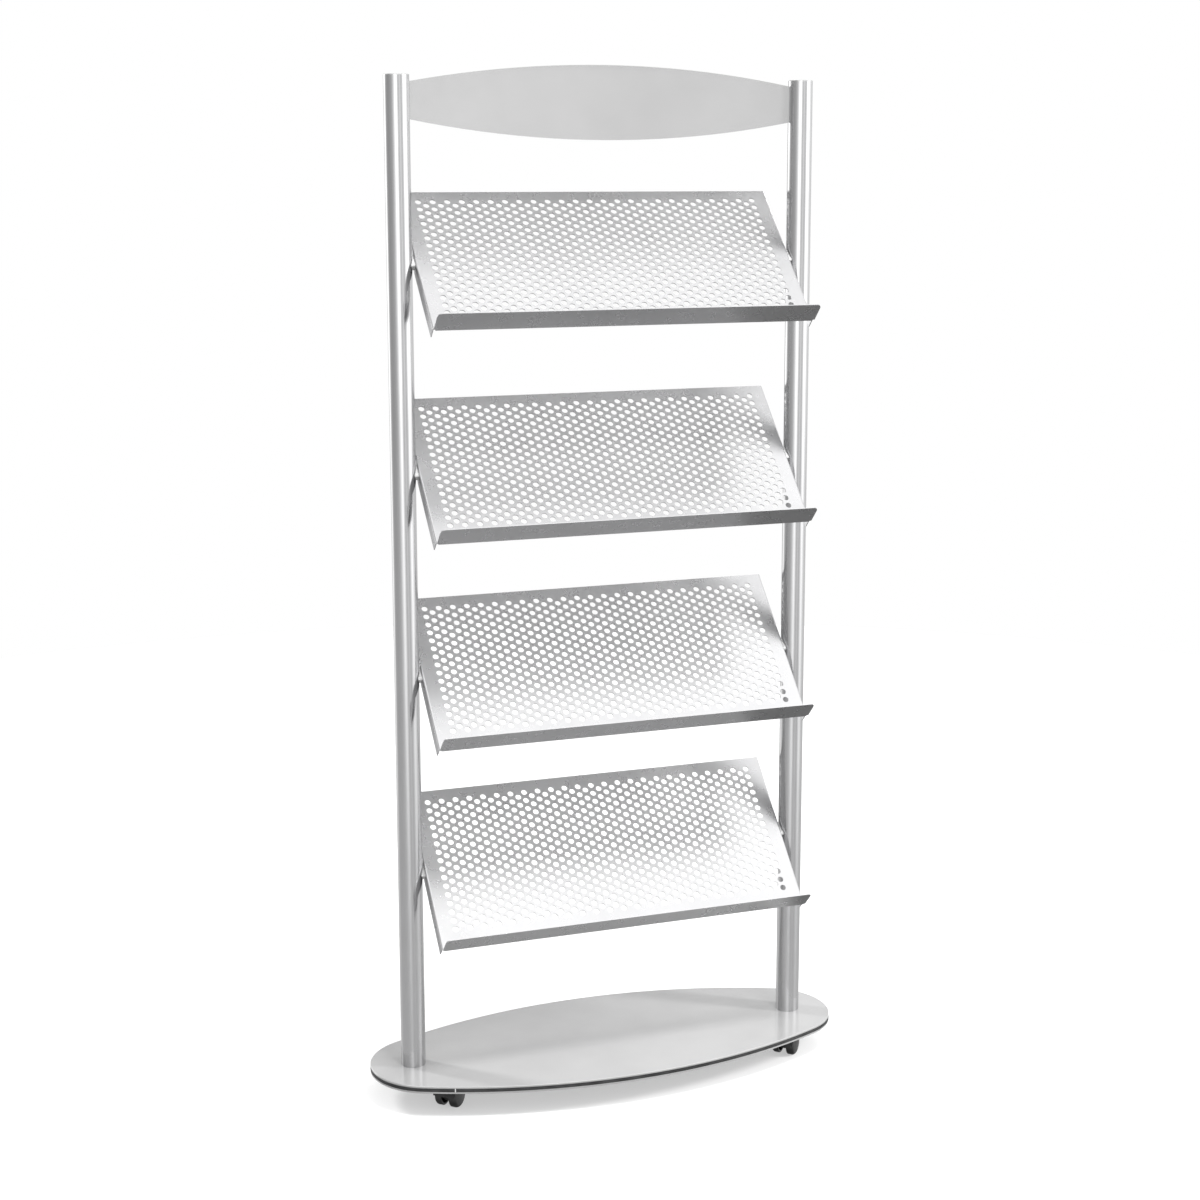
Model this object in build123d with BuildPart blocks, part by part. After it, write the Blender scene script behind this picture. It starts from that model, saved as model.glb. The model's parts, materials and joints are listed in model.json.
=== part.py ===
from build123d import *
import os
from math import cos, hypot, radians, sin

# A mobile newspaper rack: an oval base on four swivel casters carries two round
# posts, with a lens-shaped header panel and four sloping perforated trays between.
# Millimetres, +Z up, front towards -Y. The origin is on the floor, under the middle.

# Overall stations
floor_gap = 44.0                # from the floor to the underside of the base
post_height = 1600.0            # above the top of the base, cap included
post_spacing = 678.6            # between the posts' centre lines
tray_count = 4
tray_pitch = 328.5
lowest_fold = 232.0             # lowest tray's front fold above the base

# Base: two steel plates over and under a board, with a moulded edge band
base_half_length = 409.6
base_half_depth = 168.0
base_end_radius = 102.3
plate_thickness = 3.0
core_thickness = 6.0
band_depth = 3.0                # how far the edge band reaches in
band_groove_depth = 0.7
band_groove_height = 1.0
band_groove_offset = 1.2        # each groove's middle from the band's middle
band_seam_x = -300.0            # where the band's two ends meet, at the front
band_joint_width = 1.6          # strip that closes the gap between the ends
plate_bevel = 0.9

# Posts
post_diameter = 40.0
post_wall = 1.5
cap_thickness = 1.5
cap_plug_length = 14.0
plug_length = 24.0              # threaded plug fixed in the foot of each post
bolt_diameter = 10.0
bolt_head_across_flats = 16.0
bolt_head_height = 6.4
washer_diameter = 30.0
washer_thickness = 2.5
bolt_reach = 16.0               # thread inside the plug

# Header panel, a flat plate between the posts
header_thickness = 3.0
header_end_bottom = 1532.5      # heights above the top of the base
header_end_top = 1590.0
header_middle_bottom = 1502.6
header_middle_top = 1619.0
header_end_gap = 0.1
bracket_thickness = 2.0
bracket_leg = 13.0
bracket_height = 34.0
bracket_screw_spread = 18.0
bracket_screw_head = 5.6

# Trays: one perforated sheet each, with a front lip and two side flanges
sheet = 1.5
tray_half_width = 317.0
tray_slope = 45.4               # degrees from level, high at the back
tray_length = 286.0             # fold to back edge, along the slope
fold_y = -110.5
lip_height = 39.0
lip_corner = 8.0
notch_width = 3.3               # relief between the lip's bend and each flange's
notch_length = 3.0
flange_depth = 19.5
bend_radius = 1.5               # inside radius of the bends
hole_diameter = 10.0
hole_columns = 25
hole_rows = 16
hole_pitch_x = 24.0
hole_pitch_s = 15.4
first_row = 34.0                # fold to the first row's centres

# Tray and header fixings
screw_diameter = 4.0
screw_head_diameter = 7.6
screw_head_height = 2.2
screw_head_taper = 25.0
screw_hole = 4.5
fixing_spread = 14.0            # between a flange's two screws, along the slope
nut_diameter = 6.4
nut_length = 9.0
saddle_length = 24.0
saddle_width = 12.0
saddle_thickness = 7.0
saddle_corner = 3.0

# Casters: twin wheels that trail behind a vertical kingpin
caster_x = 302.0
caster_y = 66.0
caster_heading = 46.0           # degrees from +X to the trailing direction
caster_trail = 12.0
wheel_radius = 19.0
wheel_inner = 6.9               # wheel faces, out from the middle of the pair
wheel_outer = 21.5
wheel_web = 15.0                # depth of the hollow inner face
shoulder_start = 14.5
cap_edge = 20.4
cap_radius = 13.0
cap_step = 0.5
tread_round = 1.5
rim_thickness = 3.5
hub_radius = 6.0
axle_diameter = 5.0
axle_half_length = 17.0
axle_chamfer = 0.4
running_clearance = 0.06
kingpin_diameter = 8.0
kingpin_length = 16.0
kingpin_chamfer = 0.5
mount_size = 40.0
mount_corner = 4.0
mount_thickness = 2.2
mount_screw_spacing = 28.0
mount_screw_length = 9.0
mount_screw_head = 7.0
housing_half_width = 6.5
housing_radius = 10.5
boss_radius = 6.3
boss_floor = 2.5
fender_inner = 19.7
fender_thickness = 1.5
fender_half_width = 20.0
fender_start = 88.0             # degrees round the axle, from the trailing side
fender_end = 172.0
housing_gap = 0.3               # under the mounting plate

# Worked-out places
base_bottom = floor_gap
base_top = base_bottom + 2 * plate_thickness + core_thickness
core_bottom = base_bottom + plate_thickness
core_top = core_bottom + core_thickness
post_x = post_spacing / 2
post_radius = post_diameter / 2
post_bore = post_radius - post_wall
post_inner_x = post_x - post_radius
slope_cos = cos(radians(tray_slope))
slope_sin = sin(radians(tray_slope))
fixing_n = -(sheet + flange_depth) / 2
fixing_s = (fixing_n * slope_sin - fold_y) / slope_cos
header_z = base_top + (header_end_bottom + header_end_top) / 2
header_half = post_inner_x - header_end_gap
header_bracket_y = (header_thickness + bracket_leg) / 2
sides = {"left": -1, "right": 1}

os.makedirs("parts", exist_ok=True)


def save(piece, name):
    """Label one finished piece and write it as its own STEP file."""
    piece.part.label = name
    export_step(piece.part, f"parts/{name}.step")


def oval(inset):
    """The base's outline, an oval of four arcs, drawn in by inset all round."""
    length = base_half_length
    depth = base_half_depth
    reach = length - base_end_radius
    side_radius = (depth**2 + reach**2 - base_end_radius**2) / (2 * (depth - base_end_radius))
    drop = side_radius - depth
    scale = (side_radius - inset) / hypot(reach, drop)
    tangent_x = scale * reach
    tangent_y = scale * drop - drop
    with BuildSketch() as outline:
        with BuildLine():
            ThreePointArc((-tangent_x, tangent_y), (0, depth - inset), (tangent_x, tangent_y))
            ThreePointArc((tangent_x, tangent_y), (length - inset, 0), (tangent_x, -tangent_y))
            ThreePointArc((tangent_x, -tangent_y), (0, inset - depth), (-tangent_x, -tangent_y))
            ThreePointArc((-tangent_x, -tangent_y), (inset - length, 0), (-tangent_x, tangent_y))
        make_face()
    return outline.sketch


def band_joint():
    """The gap between the edge band's two ends, as a flat shape on the floor plan."""
    with BuildSketch() as gap:
        with Locations((band_seam_x, -base_half_depth / 2)):
            Rectangle(band_joint_width, base_half_depth)
        add(oval(0), mode=Mode.INTERSECT)
        add(oval(band_depth), mode=Mode.SUBTRACT)
    return gap.sketch


def caster_places():
    """Each caster's name and the place of its kingpin on the floor plan."""
    for end, y in (("front", -caster_y), ("rear", caster_y)):
        for side, sign in sides.items():
            yield f"caster_{end}_{side}", sign * caster_x, y


def mount_screw_places():
    """Places of all the casters' screws on the floor plan."""
    half = mount_screw_spacing / 2
    corners = [(-half, -half), (half, -half), (half, half), (-half, half)]
    return [(x + dx, y + dy) for _, x, y in caster_places() for dx, dy in corners]


post_places = [(-post_x, 0), (post_x, 0)]

# ---------------------------------------------------------------- base

with BuildPart() as base_bottom_plate:
    with BuildSketch(Plane.XY.offset(base_bottom)):
        add(oval(0))
        with Locations(*post_places):
            Circle(bolt_diameter / 2, mode=Mode.SUBTRACT)
        with Locations(*mount_screw_places()):
            Circle(screw_diameter / 2, mode=Mode.SUBTRACT)
    extrude(amount=plate_thickness)
    chamfer(base_bottom_plate.faces().sort_by(Axis.Z)[0].outer_wire().edges(), plate_bevel / 2)
save(base_bottom_plate, "base_bottom_plate")

with BuildPart() as base_core:
    with BuildSketch(Plane.XY.offset(core_bottom)):
        add(oval(band_depth))
        with Locations(*post_places):
            Circle(bolt_diameter / 2, mode=Mode.SUBTRACT)
        with Locations(*mount_screw_places()):
            Circle(screw_diameter / 2, mode=Mode.SUBTRACT)
    extrude(amount=core_thickness)
save(base_core, "base_core")

with BuildPart() as base_edge_band:
    with BuildSketch(Plane.XY.offset(core_bottom)):
        add(oval(0))
        add(oval(band_depth), mode=Mode.SUBTRACT)
    extrude(amount=core_thickness)
    band_middle = core_bottom + core_thickness / 2
    for side in (-1, 1):
        groove_bottom = band_middle + side * band_groove_offset - band_groove_height / 2
        with BuildSketch(Plane.XY.offset(groove_bottom)):
            add(oval(0))
            add(oval(band_groove_depth), mode=Mode.SUBTRACT)
        extrude(amount=band_groove_height, mode=Mode.SUBTRACT)
    with BuildSketch(Plane.XY.offset(core_bottom)):
        add(band_joint())
    extrude(amount=core_thickness, mode=Mode.SUBTRACT)
save(base_edge_band, "base_edge_band")

with BuildPart() as base_band_joint:
    with BuildSketch(Plane.XY.offset(core_bottom)):
        add(band_joint())
    extrude(amount=core_thickness)
save(base_band_joint, "base_band_joint")

with BuildPart() as base_top_plate:
    with BuildSketch(Plane.XY.offset(core_top)):
        add(oval(0))
        with Locations(*post_places):
            Circle(bolt_diameter / 2, mode=Mode.SUBTRACT)
    extrude(amount=plate_thickness)
    chamfer(base_top_plate.faces().sort_by(Axis.Z)[-1].outer_wire().edges(), plate_bevel)
save(base_top_plate, "base_top_plate")

# ---------------------------------------------------------------- posts


def tray_fold(number):
    """Height of a tray's front fold, with tray 1 at the top."""
    return base_top + lowest_fold + (tray_count - number) * tray_pitch


def slope_point(number, s, n):
    """Y and Z of a point s up a tray's slope and n above its top face."""
    y = fold_y + s * slope_cos - n * slope_sin
    z = tray_fold(number) + s * slope_sin + n * slope_cos
    return y, z


def post_fixings():
    """Y and Z of every screw that enters a post from its inner side."""
    places = []
    for number in range(1, tray_count + 1):
        for offset in (-fixing_spread / 2, fixing_spread / 2):
            places.append(slope_point(number, fixing_s + offset, fixing_n))
    places.append((header_bracket_y, header_z))
    return places


for side, sign in sides.items():
    with BuildPart() as post:
        with BuildSketch(Plane.XY.offset(base_top)):
            with Locations((sign * post_x, 0)):
                Circle(post_radius)
                Circle(post_bore, mode=Mode.SUBTRACT)
        extrude(amount=post_height - cap_thickness)
        with BuildSketch(Plane.YZ.offset(sign * post_inner_x)):
            with Locations(*post_fixings()):
                Circle(nut_diameter / 2)
        extrude(amount=sign * post_radius / 2, mode=Mode.SUBTRACT)
    save(post, f"post_{side}")

    with BuildPart() as post_nuts:
        with BuildSketch(Plane.YZ.offset(sign * post_inner_x)):
            with Locations(*post_fixings()):
                Circle(nut_diameter / 2)
                Circle(screw_diameter / 2, mode=Mode.SUBTRACT)
        extrude(amount=sign * nut_length)
        with BuildSketch(Plane.XY.offset(base_top)):
            with Locations((sign * post_x, 0)):
                Circle(post_radius)
        extrude(amount=post_height, mode=Mode.INTERSECT)
    save(post_nuts, f"post_nuts_{side}")

    with BuildPart() as post_cap:
        cap_bottom = base_top + post_height - cap_thickness
        with BuildSketch(Plane.XY.offset(cap_bottom)):
            with Locations((sign * post_x, 0)):
                Circle(post_radius)
        extrude(amount=cap_thickness)
        chamfer(post_cap.faces().sort_by(Axis.Z)[-1].edges(), cap_thickness / 3)
        with BuildSketch(Plane.XY.offset(cap_bottom - cap_plug_length)):
            with Locations((sign * post_x, 0)):
                Circle(post_bore)
                Circle(post_bore - 2 * post_wall, mode=Mode.SUBTRACT)
        extrude(amount=cap_plug_length)
    save(post_cap, f"post_cap_{side}")

    with BuildPart() as post_plug:
        with BuildSketch(Plane.XY.offset(base_top)):
            with Locations((sign * post_x, 0)):
                Circle(post_bore)
        extrude(amount=plug_length)
        with BuildSketch(Plane.XY.offset(base_top)):
            with Locations((sign * post_x, 0)):
                Circle(bolt_diameter / 2)
        extrude(amount=bolt_reach, mode=Mode.SUBTRACT)
    save(post_plug, f"post_plug_{side}")

with BuildPart() as post_washers:
    with BuildSketch(Plane.XY.offset(base_bottom - washer_thickness)):
        with Locations(*post_places):
            Circle(washer_diameter / 2)
            Circle(bolt_diameter / 2, mode=Mode.SUBTRACT)
    extrude(amount=washer_thickness)
save(post_washers, "post_washers")

with BuildPart() as post_bolts:
    head_bottom = base_bottom - washer_thickness - bolt_head_height
    with BuildSketch(Plane.XY.offset(head_bottom)):
        with Locations(*post_places):
            RegularPolygon(bolt_head_across_flats / 2, 6, major_radius=False)
    extrude(amount=bolt_head_height)
    with BuildSketch(Plane.XY.offset(head_bottom + bolt_head_height)):
        with Locations(*post_places):
            Circle(bolt_diameter / 2)
    extrude(amount=base_top + bolt_reach - head_bottom - bolt_head_height)
save(post_bolts, "post_bolts")

# ---------------------------------------------------------------- header

with BuildPart() as header_panel:
    with BuildSketch(Plane.XZ):
        with BuildLine():
            low = base_top + header_end_bottom
            high = base_top + header_end_top
            Line((-header_half, high), (-header_half, low))
            ThreePointArc((-header_half, low), (0, base_top + header_middle_bottom), (header_half, low))
            Line((header_half, low), (header_half, high))
            ThreePointArc((header_half, high), (0, base_top + header_middle_top), (-header_half, high))
        make_face()
    extrude(amount=header_thickness / 2, both=True)
    with BuildSketch(Plane.XZ):
        for sign in sides.values():
            with Locations((sign * (header_half - bracket_leg / 2), header_z)):
                with GridLocations(1, bracket_screw_spread, 1, 2):
                    Circle(screw_diameter / 2)
    extrude(amount=-header_thickness / 2, mode=Mode.SUBTRACT)
save(header_panel, "header_panel")

for side, sign in sides.items():
    with BuildPart() as header_bracket:
        outer = post_inner_x
        with BuildSketch(Plane.XY.offset(header_z - bracket_height / 2)):
            back = header_thickness / 2
            with Locations((sign * (outer - bracket_leg / 2), back + bracket_thickness / 2)):
                Rectangle(bracket_leg, bracket_thickness)
            with Locations((sign * (outer - bracket_thickness / 2), back + bracket_leg / 2)):
                Rectangle(bracket_thickness, bracket_leg)
        extrude(amount=bracket_height)
        with BuildSketch(Plane.XZ):
            with Locations((sign * (header_half - bracket_leg / 2), header_z)):
                with GridLocations(1, bracket_screw_spread, 1, 2):
                    Circle(screw_diameter / 2)
        extrude(amount=-bracket_leg, mode=Mode.SUBTRACT)
        with BuildSketch(Plane.YZ):
            with Locations((header_bracket_y, header_z)):
                Circle(screw_diameter / 2)
        extrude(amount=sign * outer, mode=Mode.SUBTRACT)
    save(header_bracket, f"header_bracket_{side}")

with BuildPart() as header_screws:
    for sign in sides.values():
        back = header_thickness / 2 + bracket_thickness
        with BuildSketch(Plane.XZ.offset(-back)):
            with Locations((sign * (header_half - bracket_leg / 2), header_z)):
                with GridLocations(1, bracket_screw_spread, 1, 2):
                    Circle(bracket_screw_head / 2)
        extrude(amount=-screw_head_height)
        with BuildSketch(Plane.XZ.offset(-back)):
            with Locations((sign * (header_half - bracket_leg / 2), header_z)):
                with GridLocations(1, bracket_screw_spread, 1, 2):
                    Circle(screw_diameter / 2)
        extrude(amount=back)
        seat = post_inner_x - bracket_thickness
        with BuildSketch(Plane.YZ.offset(sign * seat)):
            with Locations((header_bracket_y, header_z)):
                Circle(screw_head_diameter / 2)
        extrude(amount=-sign * screw_head_height)
        with BuildSketch(Plane.YZ.offset(sign * seat)):
            with Locations((header_bracket_y, header_z)):
                Circle(screw_diameter / 2)
        extrude(amount=sign * (bracket_thickness + nut_length))
save(header_screws, "header_screws")

# ---------------------------------------------------------------- trays

up_slope = Vector(0, slope_cos, slope_sin)
square = Vector(0, -slope_sin, slope_cos)


def perforated_tray():
    """A perforated panel, front lip and side flanges bent from one sheet, fold at Z = 0."""
    fold = Vector(0, fold_y, 0)
    half_bend = tray_half_width - notch_width
    with BuildPart() as piece:
        with BuildSketch(Plane(origin=fold, x_dir=(1, 0, 0), z_dir=square)):
            with Locations((0, tray_length / 2)):
                Rectangle(2 * half_bend, tray_length)
            with Locations((0, (tray_length + notch_length) / 2)):
                Rectangle(2 * tray_half_width, tray_length - notch_length)
        extrude(amount=-sheet)

        with BuildSketch(Plane(origin=fold, x_dir=(1, 0, 0), z_dir=-up_slope)) as lip:
            with Locations((0, (notch_length - sheet) / 2)):
                Rectangle(2 * half_bend, notch_length + sheet)
            with Locations((0, (lip_height + notch_length) / 2)):
                Rectangle(2 * tray_half_width, lip_height - notch_length)
            fillet(lip.vertices().group_by(Axis.Y)[-1], lip_corner)
        extrude(amount=sheet)

        for sign in sides.values():
            end = fold + Vector(sign * tray_half_width, 0, 0)
            with BuildSketch(Plane(origin=end, x_dir=up_slope, z_dir=(-1, 0, 0))):
                with Locations(((tray_length + notch_length) / 2, flange_depth / 2)):
                    Rectangle(tray_length - notch_length, flange_depth)
                with Locations((fixing_s, -fixing_n)):
                    with GridLocations(fixing_spread, 1, 2, 1):
                        Circle(screw_hole / 2, mode=Mode.SUBTRACT)
            extrude(amount=sign * sheet)

        # Rounded bends: inside and outside edges of the lip's fold, then of each flange's
        underside = square * -sheet
        middle = fold + up_slope * (tray_length / 2)
        bends = [(fold, bend_radius), (fold + underside - up_slope * sheet, bend_radius + sheet)]
        for sign in sides.values():
            outside = Vector(sign * tray_half_width, 0, 0)
            inside = Vector(sign * (tray_half_width - sheet), 0, 0)
            bends.append((middle + outside, bend_radius + sheet))
            bends.append((middle + inside + underside, bend_radius))
        for point, radius in bends:
            fillet(piece.edges().sort_by_distance(point)[0], radius)

        # Staggered perforation: rows of 25 holes, with rows of 24 between them
        with BuildSketch(Plane(origin=fold, x_dir=(1, 0, 0), z_dir=square)):
            with Locations((0, first_row + (hole_rows - 1) * hole_pitch_s / 2)):
                with GridLocations(hole_pitch_x, hole_pitch_s, hole_columns, hole_rows):
                    Circle(hole_diameter / 2)
                with GridLocations(hole_pitch_x, hole_pitch_s, hole_columns - 1, hole_rows - 1):
                    Circle(hole_diameter / 2)
        extrude(amount=-sheet, mode=Mode.SUBTRACT)
    return piece


def saddle(number, sign):
    """Moulded block that seats a tray's flat flange on the round post."""
    end = Vector(sign * tray_half_width, fold_y, tray_fold(number))
    with BuildPart() as piece:
        with BuildSketch(Plane(origin=end, x_dir=up_slope, z_dir=(-1, 0, 0))):
            with Locations((fixing_s, -fixing_n)):
                RectangleRounded(saddle_length, saddle_width, saddle_corner)
                with GridLocations(fixing_spread, 1, 2, 1):
                    Circle(screw_hole / 2, mode=Mode.SUBTRACT)
        extrude(amount=-sign * saddle_thickness)
        with BuildSketch(Plane.XY.offset(tray_fold(number))):
            with Locations((sign * post_x, 0)):
                Circle(post_radius)
        extrude(amount=tray_length, mode=Mode.SUBTRACT)
    return piece


def tray_screws(number):
    """The four button-headed screws that hold one tray."""
    places = [
        slope_point(number, fixing_s + offset, fixing_n)
        for offset in (-fixing_spread / 2, fixing_spread / 2)
    ]
    seat = tray_half_width - sheet
    with BuildPart() as piece:
        for sign in sides.values():
            with BuildSketch(Plane.YZ.offset(sign * seat)):
                with Locations(*places):
                    Circle(screw_head_diameter / 2)
            extrude(amount=-sign * screw_head_height, taper=screw_head_taper)
            with BuildSketch(Plane.YZ.offset(sign * seat)):
                with Locations(*places):
                    Circle(screw_diameter / 2)
            extrude(amount=sign * (post_inner_x + nut_length - seat))
    return piece


tray = perforated_tray()
for number in range(1, tray_count + 1):
    with BuildPart() as shelf:
        add(tray.part.moved(Location((0, 0, tray_fold(number)))))
    save(shelf, f"shelf_{number}")
    save(tray_screws(number), f"shelf_screws_{number}")
    for side, sign in sides.items():
        save(saddle(number, sign), f"shelf_saddle_{number}_{side}")

# ---------------------------------------------------------------- casters

heading = Vector(cos(radians(caster_heading)), sin(radians(caster_heading)), 0)
across = Vector(sin(radians(caster_heading)), -cos(radians(caster_heading)), 0)
upright = Vector(0, 0, 1)
mount_bottom = base_bottom - mount_thickness


def countersunk_screw(mode=Mode.ADD):
    """A screw, or the hole for one, whose head lies flush with the mount's underside."""
    cone_height = mount_screw_head / 2 - screw_diameter / 2
    floor_up = (Align.CENTER, Align.CENTER, Align.MIN)
    Cone(mount_screw_head / 2, screw_diameter / 2, cone_height, align=floor_up, mode=mode)
    Cylinder(screw_diameter / 2, mount_screw_length, align=floor_up, mode=mode)


def caster_mount(x, y):
    """Square plate with four countersunk holes and the kingpin riveted in its middle."""
    with BuildPart() as piece:
        with BuildSketch(Plane.XY.offset(mount_bottom)):
            with Locations((x, y)):
                RectangleRounded(mount_size, mount_size, mount_corner)
        extrude(amount=mount_thickness)
        with Locations((x, y, mount_bottom)):
            with GridLocations(mount_screw_spacing, mount_screw_spacing, 2, 2):
                countersunk_screw(Mode.SUBTRACT)
        with BuildSketch(Plane.XY.offset(mount_bottom - kingpin_length)):
            with Locations((x, y)):
                Circle(kingpin_diameter / 2)
        extrude(amount=kingpin_length)
        chamfer(piece.edges().sort_by(Axis.Z)[0], kingpin_chamfer)
    return piece


def caster_housing(x, y):
    """Body between the wheels: a boss round the kingpin, a web to the axle and a fender."""
    kingpin = Vector(x, y, 0)
    axle = kingpin + heading * caster_trail + upright * wheel_radius
    boss_top = mount_bottom - housing_gap - wheel_radius
    boss_bottom = boss_top - kingpin_length - boss_floor
    with BuildPart() as piece:
        with BuildSketch(Plane(origin=axle, x_dir=heading, z_dir=across)):
            with BuildLine():
                CenterArc((0, 0), housing_radius, 0, 360)
                near = boss_radius - caster_trail
                far = -boss_radius - caster_trail
                Polyline((near, boss_bottom), (far, boss_bottom), (far, boss_top), (near, boss_top))
            make_hull()
        extrude(amount=housing_half_width, both=True)
        with BuildSketch(Plane(origin=axle, x_dir=heading, z_dir=across)):
            with BuildLine():
                fender_outer = fender_inner + fender_thickness
                sweep = fender_end - fender_start
                inner = CenterArc((0, 0), fender_inner, fender_start, sweep)
                outer = CenterArc((0, 0), fender_outer, fender_start, sweep)
                Line(inner @ 0, outer @ 0)
                Line(inner @ 1, outer @ 1)
            make_face()
        extrude(amount=fender_half_width, both=True)
        with BuildSketch(Plane.XY.offset(mount_bottom - housing_gap)):
            with Locations((x, y)):
                Circle(kingpin_diameter / 2 + running_clearance)
        extrude(amount=-kingpin_length, mode=Mode.SUBTRACT)
        with BuildSketch(Plane(origin=axle, x_dir=heading, z_dir=across)):
            Circle(axle_diameter / 2)
        extrude(amount=housing_half_width, both=True, mode=Mode.SUBTRACT)
    return piece


def caster_axle(x, y):
    """Steel pin pressed through the housing; both wheels run on its ends."""
    axle = Vector(x, y, 0) + heading * caster_trail + upright * wheel_radius
    with BuildPart() as piece:
        with BuildSketch(Plane(origin=axle, x_dir=heading, z_dir=across)):
            Circle(axle_diameter / 2)
        extrude(amount=axle_half_length, both=True)
        chamfer(piece.edges().filter_by(GeomType.CIRCLE), axle_chamfer)
    return piece


def caster_wheel(x, y, sign):
    """One wheel of the pair: rounded tread, domed outer face, hollow inner face and hub."""
    axle = Vector(x, y, 0) + heading * caster_trail + upright * wheel_radius
    outward = across * sign
    face = Plane(origin=axle, x_dir=outward, z_dir=outward.cross(upright))
    bore = axle_diameter / 2 + running_clearance
    rim = wheel_radius - rim_thickness
    with BuildPart() as piece:
        with BuildSketch(face):
            with BuildLine():
                Polyline(
                    (wheel_outer, 0),
                    (axle_half_length + running_clearance, 0),
                    (axle_half_length + running_clearance, bore),
                    (wheel_inner, bore),
                    (wheel_inner, hub_radius),
                    (wheel_web, hub_radius),
                    (wheel_web, rim),
                    (wheel_inner, rim),
                    (wheel_inner, wheel_radius - tread_round),
                )
                RadiusArc(
                    (wheel_inner, wheel_radius - tread_round),
                    (wheel_inner + tread_round, wheel_radius),
                    tread_round,
                )
                Line((wheel_inner + tread_round, wheel_radius), (shoulder_start, wheel_radius))
                shoulder = TangentArc(
                    (shoulder_start, wheel_radius), (cap_edge, cap_radius), tangent=(1, 0)
                )
                step_foot = (cap_edge - cap_step, cap_radius - cap_step)
                Polyline(shoulder @ 1, step_foot, (cap_edge, cap_radius - cap_step))
                TangentArc((wheel_outer, 0), (cap_edge, cap_radius - cap_step), tangent=(0, 1))
            make_face()
        revolve(axis=Axis(axle, outward))
    return piece


for name, x, y in caster_places():
    save(caster_mount(x, y), f"{name}_mount")
    save(caster_housing(x, y), f"{name}_housing")
    save(caster_axle(x, y), f"{name}_axle")
    for side, sign in sides.items():
        save(caster_wheel(x, y, sign), f"{name}_wheel_{side}")

with BuildPart() as caster_screws:
    for x, y in mount_screw_places():
        with Locations((x, y, mount_bottom)):
            countersunk_screw()
save(caster_screws, "caster_screws")
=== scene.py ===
import json
import math

import bmesh
import bpy
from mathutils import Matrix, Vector


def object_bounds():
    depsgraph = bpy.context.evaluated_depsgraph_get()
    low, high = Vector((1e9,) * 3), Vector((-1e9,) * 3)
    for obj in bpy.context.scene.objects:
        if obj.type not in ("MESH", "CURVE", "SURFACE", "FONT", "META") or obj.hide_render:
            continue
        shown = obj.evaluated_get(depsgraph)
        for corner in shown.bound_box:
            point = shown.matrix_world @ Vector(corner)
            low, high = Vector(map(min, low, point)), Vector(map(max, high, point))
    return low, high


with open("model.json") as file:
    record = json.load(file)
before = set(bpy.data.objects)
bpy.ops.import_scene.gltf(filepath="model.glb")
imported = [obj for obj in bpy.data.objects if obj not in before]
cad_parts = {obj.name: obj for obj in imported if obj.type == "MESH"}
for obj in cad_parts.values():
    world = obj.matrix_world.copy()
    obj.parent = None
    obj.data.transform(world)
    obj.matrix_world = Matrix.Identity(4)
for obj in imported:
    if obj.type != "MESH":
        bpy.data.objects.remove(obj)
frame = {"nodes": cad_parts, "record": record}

CAD_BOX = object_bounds()
NODES = frame["nodes"]
SLOTS = {p["node"]: p["material_slot"] for p in frame["record"]["subparts"]}
scene = bpy.context.scene


# ------------------------------------------------------------------ camera

def add_camera():
    """A camera on the front left, somewhat below the posts' tops, looking down a little."""
    distance, azimuth, height = 3.3956, math.radians(19.93), 1.5103
    heading, pitch = math.radians(20.25), math.radians(9.953)
    data = bpy.data.cameras.new("camera")
    data.sensor_width = 36.0
    data.lens = 63.07
    data.shift_x = -0.0145
    data.shift_y = -0.05
    camera = bpy.data.objects.new("camera", data)
    camera.location = (-distance * math.sin(azimuth), -distance * math.cos(azimuth), height)
    camera.rotation_euler = (math.pi / 2 - pitch, 0.0, -heading)
    scene.collection.objects.link(camera)
    scene.camera = camera


# ------------------------------------------------------------------ node helpers

class Nodes:
    """A short hand for building one node tree."""

    def __init__(self, tree):
        self.tree = tree
        tree.nodes.clear()

    def add(self, kind, inputs=None, **settings):
        node = self.tree.nodes.new(kind)
        for key, value in settings.items():
            setattr(node, key, value)
        for key, value in (inputs or {}).items():
            if isinstance(value, bpy.types.NodeSocket):
                self.tree.links.new(value, node.inputs[key])
            else:
                node.inputs[key].default_value = value
        return node

    def math(self, operation, first, second=0.0, clamp=False):
        node = self.add("ShaderNodeMath", operation=operation, use_clamp=clamp)
        for socket, value in zip(node.inputs, (first, second)):
            if isinstance(value, bpy.types.NodeSocket):
                self.tree.links.new(value, socket)
            else:
                socket.default_value = value
        return node.outputs[0]

    def span(self, value, low, high, to_low, to_high, smooth=False):
        node = self.add(
            "ShaderNodeMapRange",
            {"Value": value, "From Min": low, "From Max": high, "To Min": to_low, "To Max": to_high},
            interpolation_type="SMOOTHSTEP" if smooth else "LINEAR",
        )
        return node.outputs["Result"]

    def noise(self, vector, scale, detail=3.0, roughness=0.5):
        node = self.add(
            "ShaderNodeTexNoise",
            {"Vector": vector, "Scale": scale, "Detail": detail, "Roughness": roughness},
        )
        return node.outputs["Fac"]

    def blend(self, factor, first, second):
        node = self.add("ShaderNodeMix", {0: factor}, data_type="FLOAT")
        for socket, value in zip(node.inputs[2:4], (first, second)):
            if isinstance(value, bpy.types.NodeSocket):
                self.tree.links.new(value, socket)
            else:
                socket.default_value = value
        return node.outputs[0]

    def ramp(self, factor, stops):
        """A smooth grey ramp through (place, tone) stops."""
        node = self.add("ShaderNodeValToRGB", {"Fac": factor})
        node.color_ramp.interpolation = "B_SPLINE"
        elements = node.color_ramp.elements
        while len(elements) > 1:
            elements.remove(elements[-1])
        for index, (place, value) in enumerate(stops):
            element = elements[0] if index == 0 else elements.new(place)
            element.position = place
            element.color = (value, value, value, 1.0)
        return node.outputs["Color"]


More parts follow.
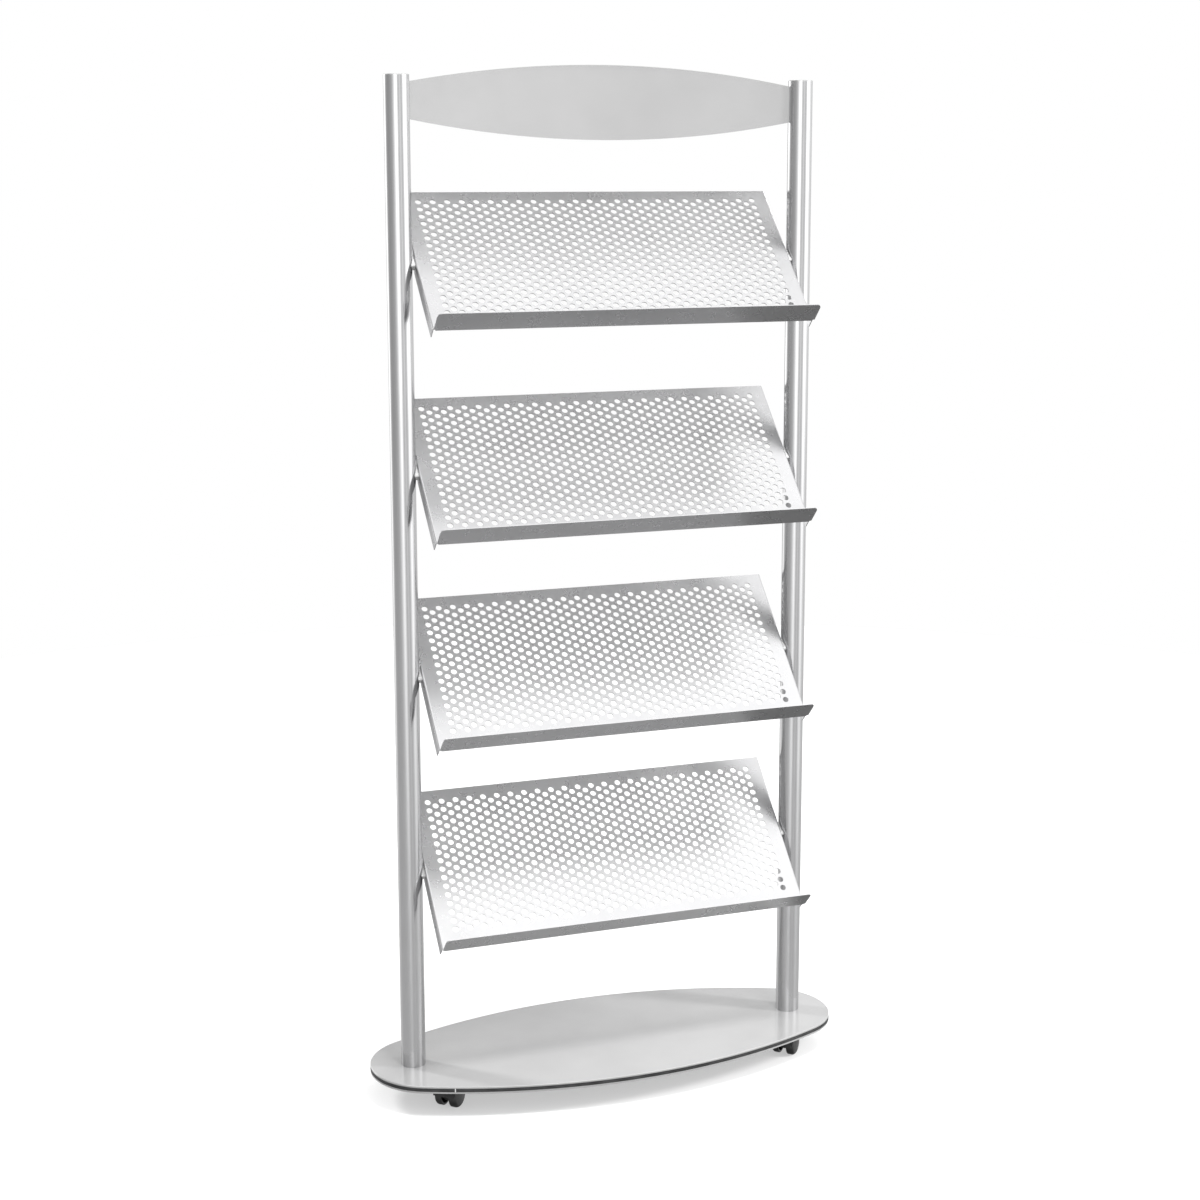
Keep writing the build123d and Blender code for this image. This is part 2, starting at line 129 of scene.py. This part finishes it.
# ------------------------------------------------------------------ light and floor

# The studio's tall panels: heading in degrees, clockwise from behind the object, and brightness.
BAND_SCALE = 3.2                    # brightness of the brightest panel
BANDS = [
    (0, 0.38), (9, 0.6), (20, 1.2), (34, 1.0), (54, 0.95), (75, 1.2), (97, 1.5), (112, 2.6),
    (124, 3.2), (134, 2.2), (144, 1.2), (153, 0.75), (165, 1.5), (172, 1.15), (178, 0.85),
    (187, 1.2), (198, 3.1), (208, 2.5), (224, 1.05), (245, 0.62), (275, 0.5), (300, 0.55),
    (312, 1.2), (325, 2.8), (338, 2.2), (347, 1.3), (354, 0.45),
]
FRONT_SKY = 2.05                    # brightness high up in front
REAR_SKY = 0.5                      # brightness high up behind
GROUND_HAZE = 0.72                  # brightness just below the level
FLOOR_SHARE = 0.22                  # what is left of it straight below

# name, place, aim, size, power, whether the metal mirrors it
SOFTBOXES = [
    ("softbox_rear_left", (-2.16, 1.88, 2.2), (0.0, 0.0, 0.1), (0.3, 0.8), 125.0, False),
    ("softbox_rear_right", (2.4, 1.8, 2.9), (0.0, 0.0, 0.3), (0.8, 0.8), 35.0, True),
    ("softbox_right", (2.46, -1.48, 2.0), (0.0, 0.0, 0.1), (0.3, 0.8), 125.0, False),
    ("softbox_front", (0.3, -1.55, 3.6), (0.0, 0.0, 0.1), (0.9, 0.45), 150.0, False),
]
FLOOR_RADIUS = 3.6
FLOOR_GLOW = 0.45                   # the floor's own light, which keeps shadows pale
FLAG_SIZE = (0.84, 0.5)
FLAG_PLACE = (0.12, 0.20)
FLAG_CLEARANCE = 0.06               # over the object's top


def add_world():
    """A studio of tall soft panels round the object, bright overhead in front, dark below."""
    world = bpy.data.worlds.new("studio")
    scene.world = world
    world.use_nodes = True
    n = Nodes(world.node_tree)
    place = n.add("ShaderNodeTexCoord").outputs["Generated"]
    axes = n.add("ShaderNodeSeparateXYZ", {"Vector": place}).outputs
    heading = n.math("ARCTAN2", axes["X"], axes["Y"])
    turn = n.math("FRACT", n.math("ADD", n.math("DIVIDE", heading, 2 * math.pi), 1.0))
    bands = n.ramp(turn, [(a / 360, v / BAND_SCALE) for a, v in BANDS])
    rear, ahead = REAR_SKY / BAND_SCALE, FRONT_SKY / BAND_SCALE
    front = n.span(axes["Y"], 0.18, -0.10, rear, ahead, smooth=True)
    overhead = n.math("MULTIPLY", front, n.span(axes["Y"], -0.15, -0.35, 1.0, 1.12, smooth=True))
    high = n.span(axes["Z"], 0.35, 0.8, 0.0, 1.0, smooth=True)
    low = n.span(axes["Z"], -0.05, -0.36, 0.0, 0.92)
    sides = n.blend(low, bands, GROUND_HAZE / BAND_SCALE)
    dark = n.span(axes["Z"], -0.40, -0.80, 1.0, FLOOR_SHARE, smooth=True)
    shell = n.blend(high, n.math("MULTIPLY", sides, dark), overhead)
    light = n.math("MULTIPLY", shell, BAND_SCALE)
    studio = n.add("ShaderNodeBackground", {"Color": (1.0, 1.0, 1.0, 1.0), "Strength": light})
    plain = n.add("ShaderNodeBackground", {"Color": (1.0, 1.0, 1.0, 1.0), "Strength": 1.0})
    seen = n.add("ShaderNodeLightPath").outputs["Is Camera Ray"]
    both = n.add("ShaderNodeMixShader", {0: seen})
    n.tree.links.new(studio.outputs[0], both.inputs[1])
    n.tree.links.new(plain.outputs[0], both.inputs[2])
    n.add("ShaderNodeOutputWorld", {"Surface": both.outputs[0]})


def add_softbox(name, place, target, size, power, mirrored):
    """A rectangular soft light, aimed at a point, and whether the metal mirrors it."""
    data = bpy.data.lights.new(name, "AREA")
    data.shape = "RECTANGLE"
    data.size, data.size_y = size
    data.energy = power
    light = bpy.data.objects.new(name, data)
    light.location = place
    light.rotation_euler = (Vector(target) - Vector(place)).to_track_quat("-Z", "Y").to_euler()
    light.visible_camera = False
    light.visible_glossy = mirrored
    scene.collection.objects.link(light)


def add_floor():
    """A plain pale round floor, lit a little from below so that shadows stay light."""
    mesh = bpy.data.meshes.new("studio_floor")
    shape = bmesh.new()
    bmesh.ops.create_circle(shape, cap_ends=True, segments=128, radius=FLOOR_RADIUS)
    shape.to_mesh(mesh)
    shape.free()
    floor = bpy.data.objects.new("studio_floor", mesh)
    scene.collection.objects.link(floor)
    material = bpy.data.materials.new("studio_floor")
    material.use_nodes = True
    n = Nodes(material.node_tree)
    place = n.add("ShaderNodeTexCoord").outputs["Object"]
    tone = n.span(n.noise(place, 1.5), 0.3, 0.7, 0.33, 0.34)
    colour = n.add("ShaderNodeCombineColor", {0: tone, 1: tone, 2: tone}).outputs[0]
    glow = {"Emission Color": (1.0, 1.0, 1.0, 1.0), "Emission Strength": FLOOR_GLOW}
    surface = n.add("ShaderNodeBsdfPrincipled", {"Base Color": colour, "Roughness": 0.9, **glow})
    n.add("ShaderNodeOutputMaterial", {"Surface": surface.outputs[0]})
    mesh.materials.append(material)
    floor.visible_glossy = False


def add_flag():
    """A card over the top tray, which shades it as each tray shades the next one down."""
    mesh = bpy.data.meshes.new("studio_flag")
    shape = bmesh.new()
    bmesh.ops.create_grid(shape, x_segments=1, y_segments=1, size=0.5)
    shape.to_mesh(mesh)
    shape.free()
    flag = bpy.data.objects.new("studio_flag", mesh)
    flag.scale = (*FLAG_SIZE, 1.0)
    flag.location = (*FLAG_PLACE, CAD_BOX[1][2] + FLAG_CLEARANCE)
    scene.collection.objects.link(flag)
    material = bpy.data.materials.new("studio_flag")
    material.use_nodes = True
    n = Nodes(material.node_tree)
    surface = n.add("ShaderNodeBsdfDiffuse", {"Color": (0.75, 0.75, 0.75, 1.0)})
    n.add("ShaderNodeOutputMaterial", {"Surface": surface.outputs[0]})
    mesh.materials.append(material)
    flag.visible_camera = False


# ------------------------------------------------------------------ materials

def new_material(name):
    material = bpy.data.materials.new(name)
    material.use_nodes = True
    n = Nodes(material.node_tree)
    return material, n, n.add("ShaderNodeTexCoord").outputs["Object"]


def finish_material(n, colour, settings, roughness, bump, depth, strength):
    """The surface shader, with its colour, roughness and bump from nodes."""
    surface = n.add("ShaderNodeBsdfPrincipled", settings)
    n.tree.links.new(colour, surface.inputs["Base Color"])
    n.tree.links.new(roughness, surface.inputs["Roughness"])
    raised = n.add("ShaderNodeBump", {"Height": bump, "Strength": strength, "Distance": depth})
    n.tree.links.new(raised.outputs["Normal"], surface.inputs["Normal"])
    n.add("ShaderNodeOutputMaterial", {"Surface": surface.outputs[0]})


def grey(tone):
    return (tone, tone, tone)


def tinted(n, factor, low, high):
    """A grey or colour between two tones."""
    node = n.add("ShaderNodeMix", {0: factor}, data_type="RGBA")
    node.inputs[6].default_value = (*low, 1.0)
    node.inputs[7].default_value = (*high, 1.0)
    return node.outputs[2]


def worn_edges(n, radius, low, high):
    """How close a surface is to a sharp edge, from its normal and the same rounded over."""
    sharp = n.add("ShaderNodeNewGeometry").outputs["Normal"]
    round_off = n.add("ShaderNodeBevel", {"Radius": radius}, samples=8).outputs["Normal"]
    alike = n.add("ShaderNodeVectorMath", {0: sharp, 1: round_off}, operation="DOT_PRODUCT")
    return n.span(alike.outputs["Value"], low, high, 1.0, 0.0)


def silver_paint(name, low, high, roughness, metallic, coat=0.0, edges=0.0012):
    """Metallic powder paint: fine flake, soft orange peel, cloudy gloss and edges rubbed bright."""
    material, n, place = new_material(name)
    cloud = n.noise(place, 9.0, 4.0)
    flake = n.noise(place, 500.0, 0.0)
    mixed = n.math("ADD", n.math("MULTIPLY", flake, 0.08), n.math("MULTIPLY", cloud, 0.92))
    factor = n.span(mixed, 0.35, 0.65, 0.0, 0.85)
    if edges:
        rubbed = n.math("MULTIPLY", worn_edges(n, edges, 0.90, 0.99), n.span(cloud, 0.4, 0.6, 0.1, 0.6))
        factor = n.math("ADD", factor, rubbed, clamp=True)
    colour = tinted(n, factor, low, high)
    rough = n.span(n.noise(place, 60.0, 3.0), 0.3, 0.7, roughness - 0.02, roughness + 0.03)
    peel = n.noise(place, 130.0, 0.0)
    settings = {"Metallic": metallic, "Coat Weight": coat, "Coat Roughness": 0.06}
    finish_material(n, colour, settings, rough, peel, 0.00002, 0.04)
    return material


def brushed_tube(name, low, high, roughness):
    """Satin anodised tube: very fine lines drawn along its length."""
    material, n, place = new_material(name)
    drawn = n.add("ShaderNodeMapping", {"Vector": place, "Scale": (1.0, 1.0, 0.02)}).outputs[0]
    line = n.noise(drawn, 1900.0, 2.0)
    cloud = n.noise(place, 5.0, 3.0)
    factor = n.math("ADD", n.math("MULTIPLY", line, 0.5), n.math("MULTIPLY", cloud, 0.5))
    rough = n.span(line, 0.25, 0.75, roughness - 0.05, roughness + 0.05)
    finish_material(
        n, tinted(n, n.span(factor, 0.35, 0.65, 0.0, 1.0), low, high), {"Metallic": 1.0},
        rough, line, 0.00003, 0.15,
    )
    return material


def moulded_plastic(name, low, high, roughness):
    """Moulded plastic with a fine spark-eroded grain and scuffed edges."""
    material, n, place = new_material(name)
    fine = n.noise(place, 900.0, 2.0)
    cloud = n.noise(place, 40.0, 4.0)
    scuff = n.math("MULTIPLY", worn_edges(n, 0.0008, 0.85, 0.98), n.span(cloud, 0.4, 0.6, 0.1, 0.7))
    factor = n.math("ADD", n.span(cloud, 0.3, 0.7, 0.0, 0.6), scuff, clamp=True)
    rough = n.span(cloud, 0.3, 0.7, roughness - 0.06, roughness + 0.08)
    finish_material(n, tinted(n, factor, low, high), {"IOR": 1.49}, rough, fine, 0.00008, 0.35)
    return material


def zinc_plate(name):
    """Zinc-plated steel with a faint spangle."""
    material, n, place = new_material(name)
    spangle = n.add("ShaderNodeTexVoronoi", {"Vector": place, "Scale": 420.0}).outputs["Distance"]
    grain = n.noise(place, 300.0, 3.0)
    colour = tinted(n, n.span(spangle, 0.1, 0.8, 0.0, 1.0), (0.42, 0.42, 0.41), (0.60, 0.60, 0.62))
    rough = n.span(grain, 0.3, 0.7, 0.34, 0.50)
    finish_material(n, colour, {"Metallic": 0.8}, rough, grain, 0.00004, 0.2)
    return material


def pressed_board(name):
    """Pressed wood board: short fibres in a brown binder."""
    material, n, place = new_material(name)
    fibre = n.add("ShaderNodeMapping", {"Vector": place, "Scale": (1.0, 1.0, 6.0)}).outputs[0]
    chips = n.noise(fibre, 260.0, 5.0, 0.7)
    colour = tinted(n, n.span(chips, 0.3, 0.7, 0.0, 1.0), (0.20, 0.13, 0.07), (0.42, 0.31, 0.19))
    rough = n.span(chips, 0.3, 0.7, 0.65, 0.85)
    finish_material(n, colour, {}, rough, chips, 0.0002, 0.4)
    return material


def add_materials():
    """One procedural material for each slot of the record, put on every CAD node."""
    slots = {
        "tray_silver": silver_paint(
            "tray_silver", (0.43, 0.43, 0.435), (0.46, 0.46, 0.465), 0.28, 0.90, edges=0.0,
        ),
        "header_silver": silver_paint("header_silver", grey(0.42), grey(0.45), 0.20, 0.88),
        "base_silver": silver_paint("base_silver", grey(0.24), grey(0.265), 0.20, 0.35, coat=0.35),
        "cap_silver": silver_paint("cap_silver", grey(0.46), grey(0.54), 0.28, 0.9),
        "post_aluminium": brushed_tube("post_aluminium", (0.47, 0.47, 0.475), (0.53, 0.53, 0.535), 0.15),
        "edge_black": moulded_plastic("edge_black", grey(0.012), (0.035, 0.035, 0.036), 0.45),
        "saddle_grey": moulded_plastic("saddle_grey", grey(0.33), grey(0.42), 0.5),
        "caster_black": moulded_plastic("caster_black", grey(0.006), grey(0.018), 0.5),
        "wheel_black": moulded_plastic("wheel_black", grey(0.008), grey(0.022), 0.42),
        "zinc_steel": zinc_plate("zinc_steel"),
        "base_board": pressed_board("base_board"),
    }
    for name, piece in NODES.items():
        piece.data.materials.clear()
        piece.data.materials.append(slots[SLOTS[name]])


# ------------------------------------------------------------------ the scene

scene.view_settings.view_transform = "Standard"
add_camera()
add_world()
for box_light in SOFTBOXES:
    add_softbox(*box_light)
add_floor()
add_flag()
add_materials()
